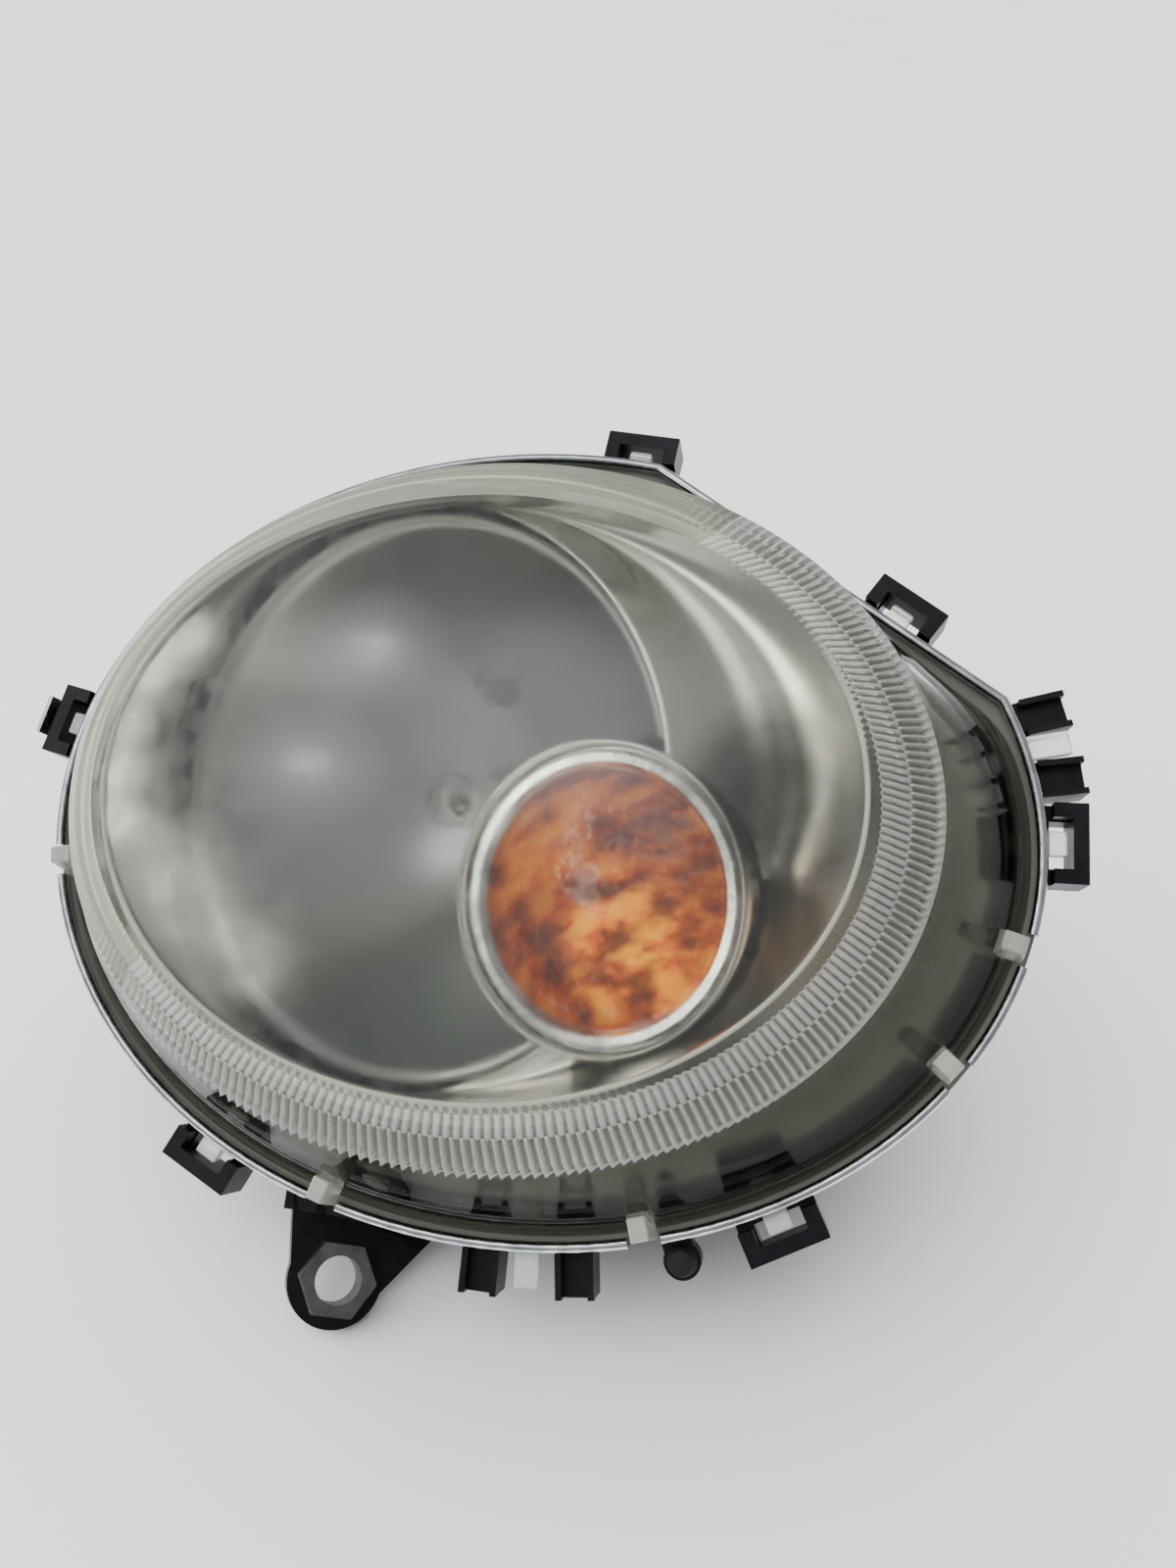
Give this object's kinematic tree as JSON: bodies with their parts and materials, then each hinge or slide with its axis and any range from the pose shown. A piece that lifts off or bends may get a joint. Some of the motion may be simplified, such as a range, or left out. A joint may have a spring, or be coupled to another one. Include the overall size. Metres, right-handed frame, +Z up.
{
  "type": "car headlight assembly",
  "caption": "Oval car headlight: clear fluted lens on a black housing, aimable main bowl, amber turn signal, bulbs, levelling motor and mounting points.",
  "frame": {"origin": "middle of the base of the whole part's box, on the surface it lies on", "axes": "+Z up, +X along the lens's long side to the right as seen from the front, +Y to the rear, away from the viewer in front; the lens faces up and forward, 38 degrees from straight up"},
  "size_m": [0.31, 0.2256, 0.1979],
  "materials": {
    "clear_lens": "hazy clear polycarbonate, yellowed at the edge",
    "bright_trim": "polished, pitted",
    "black_housing": "satin moulded",
    "black_rubber": "soft",
    "silver_bezel": "satin vapour-metallised",
    "mirror_bowl": "bright vapour-metallised, slightly hazed",
    "amber_lens": "moulded transparent amber",
    "clear_glass": "clear",
    "zinc_steel": "zinc plated",
    "bright_steel": "plain steel",
    "brass_insert": "machined",
    "black_plastic": "moulded",
    "grey_plastic": "moulded",
    "white_plastic": "moulded"
  },
  "bodies": {
    "housing": {"outer_lens": "clear_lens", "rim_trim": "bright_trim", "lens_seal": "black_rubber", "housing": "black_housing", "threaded_inserts": "brass_insert", "bumper_peg": "black_rubber", "spring_clip": "bright_steel", "front_bracket": "black_housing", "bracket_screws": "zinc_steel", "bezel": "silver_bezel", "turn_lens": "amber_lens", "turn_ring": "bright_trim", "turn_reflector": "mirror_bowl", "turn_seal": "black_rubber", "pivot_stud": "bright_steel", "level_motor": "black_plastic", "side_seal": "black_rubber", "cap_seal": "black_rubber", "vent_caps": "black_rubber", "main_connector": "black_plastic", "connector_pins": "brass_insert", "motor_screws": "zinc_steel"},
    "swivel": {"pivot_socket": "white_plastic"},
    "reflector": {"main_reflector": "mirror_bowl", "bulb_glass": "clear_glass", "bulb_filaments": "bright_steel", "bulb_shield": "bright_steel", "bulb_base": "bright_steel", "bulb_plug": "black_plastic", "parking_holder": "black_rubber", "parking_bulb": "clear_glass"},
    "clip": {"bulb_clip": "bright_steel"},
    "level_rod": {"level_rod": "white_plastic"},
    "height_knob": {"height_adjuster": "white_plastic"},
    "side_nut": {"side_nut": "white_plastic"},
    "side_screw": {"side_screw": "zinc_steel"},
    "rear_cap": {"rear_cap": "black_plastic"},
    "turn_holder": {"turn_bulb_holder": "grey_plastic", "turn_bulb": "clear_glass"},
    "front_nut": {"adjusting_nut": "zinc_steel"}
  },
  "joints": [
    {"name": "beam_swivel", "type": "hinge", "parent": "housing", "child": "swivel", "pos_m": [-0.05916, 0.06688, 0.12098], "axis": [0.0906, 0.6812, 0.7265], "range_deg": [-1.5, 1.5]},
    {"name": "beam_tilt", "type": "hinge", "parent": "swivel", "child": "reflector", "pos_m": [-0.05916, 0.06688, 0.12098], "axis": [0.897, -0.3728, 0.2377], "range_deg": [-2, 2]},
    {"name": "clip_swing", "type": "hinge", "parent": "reflector", "child": "clip", "pos_m": [-0.00485, 0.01973, 0.05242], "axis": [0.897, -0.3728, 0.2377], "range_deg": [-28, 0]},
    {"name": "level_slide", "type": "slide", "parent": "housing", "child": "level_rod", "axis": [-0.4327, -0.6301, 0.6448], "range_m": [-0.0032, 0.0032]},
    {"name": "height_turn", "type": "hinge", "parent": "housing", "child": "height_knob", "pos_m": [-0.03951, 0.04936, 0.01934], "axis": [-0.4327, -0.6301, 0.6448], "range_deg": [-220, 220]},
    {"name": "nut_slide", "type": "slide", "parent": "housing", "child": "side_nut", "axis": [-0.4327, -0.6301, 0.6448], "range_m": [-0.0028, 0.0028]},
    {"name": "side_turn", "type": "hinge", "parent": "housing", "child": "side_screw", "pos_m": [0.07078, 0.0882, 0.08479], "axis": [-0.4327, -0.6301, 0.6448], "range_deg": [-195, 195]},
    {"name": "cap_turn", "type": "hinge", "parent": "housing", "child": "rear_cap", "pos_m": [0.01751, 0.06711, 0.04238], "axis": [-0.4327, -0.6301, 0.6448], "range_deg": [0, 30]},
    {"name": "turn_holder_turn", "type": "hinge", "parent": "housing", "child": "turn_holder", "pos_m": [0.07398, 0.02703, 0.04112], "axis": [-0.4327, -0.6301, 0.6448], "range_deg": [0, 30]},
    {"name": "front_nut_turn", "type": "hinge", "parent": "housing", "child": "front_nut", "pos_m": [-0.05155, -0.09854, 0.0169], "axis": [0.3287, -0.5016, 0.8003], "range_deg": [-180, 180]}
  ],
  "couplings": [
    {"joint": "level_slide", "follows": "beam_tilt", "m_per_rad": -0.084},
    {"joint": "height_turn", "follows": "beam_tilt", "ratio": -105.56},
    {"joint": "nut_slide", "follows": "beam_swivel", "m_per_rad": -0.1},
    {"joint": "side_turn", "follows": "beam_swivel", "ratio": -125.66}
  ]
}
